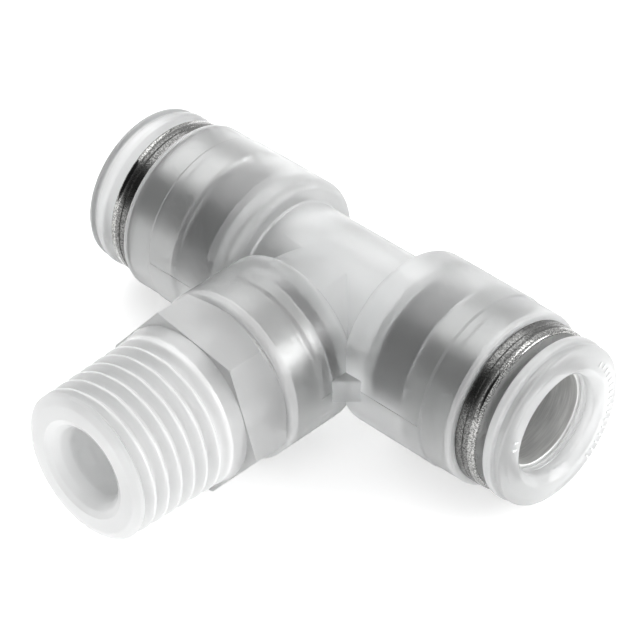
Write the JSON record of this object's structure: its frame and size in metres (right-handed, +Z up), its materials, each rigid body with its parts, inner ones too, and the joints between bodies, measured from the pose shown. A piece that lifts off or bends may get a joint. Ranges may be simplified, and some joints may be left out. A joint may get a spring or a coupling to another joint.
{
  "type": "push-in tee fitting",
  "caption": "Translucent push-in tee with a tube port at each end of its run and a swivelling male taper-thread stud with a hexagon on the branch.",
  "frame": {"origin": "bottom centre of the box of the fitting as it lies on its side", "axes": "+X along the run towards the right port; the branch and its stud point along -Y; +Z up"},
  "size_m": [0.047, 0.0372, 0.0155],
  "materials": {
    "polypropylene_housing": "natural translucent polypropylene, smooth moulded",
    "polypropylene_stud": "natural translucent polypropylene, milky, smooth moulded",
    "polypropylene_release_ring": "natural translucent polypropylene, smooth moulded",
    "stainless_sleeve": "turned stainless steel, satin bands and one polished band",
    "stainless_ring": "stamped stainless steel",
    "spring_steel": "stamped spring stainless steel",
    "epdm_seal": "matt black moulded rubber"
  },
  "bodies": {
    "tee": {"tee_housing": "polypropylene_housing", "left_tube_seal": "epdm_seal", "left_backing_ring": "stainless_ring", "left_claw_ring": "spring_steel", "left_cartridge_sleeve": "stainless_sleeve", "right_tube_seal": "epdm_seal", "right_backing_ring": "stainless_ring", "right_claw_ring": "spring_steel", "right_cartridge_sleeve": "stainless_sleeve", "stud_bearing_sleeve": "stainless_sleeve"},
    "stud": {"threaded_stud": "polypropylene_stud", "stud_retaining_clip": "spring_steel", "stud_o_ring": "epdm_seal"},
    "left_release": {"left_release_ring": "polypropylene_release_ring", "left_release_pusher": "stainless_sleeve"},
    "right_release": {"right_release_ring": "polypropylene_release_ring", "right_release_pusher": "stainless_sleeve"}
  },
  "joints": [
    {"name": "stud_swivel", "type": "hinge", "parent": "tee", "child": "stud", "pos_m": [0, 0.01085, 0.00775], "axis": [0, -1, 0], "continuous": true},
    {"name": "left_release_press", "type": "slide", "parent": "tee", "child": "left_release", "axis": [1, 0, 0], "range_m": [0, 0.0007], "stiffness_N_per_m": 4000, "springref_m": -0.0005},
    {"name": "right_release_press", "type": "slide", "parent": "tee", "child": "right_release", "axis": [-1, 0, 0], "range_m": [0, 0.0007], "stiffness_N_per_m": 4000, "springref_m": -0.0005}
  ]
}
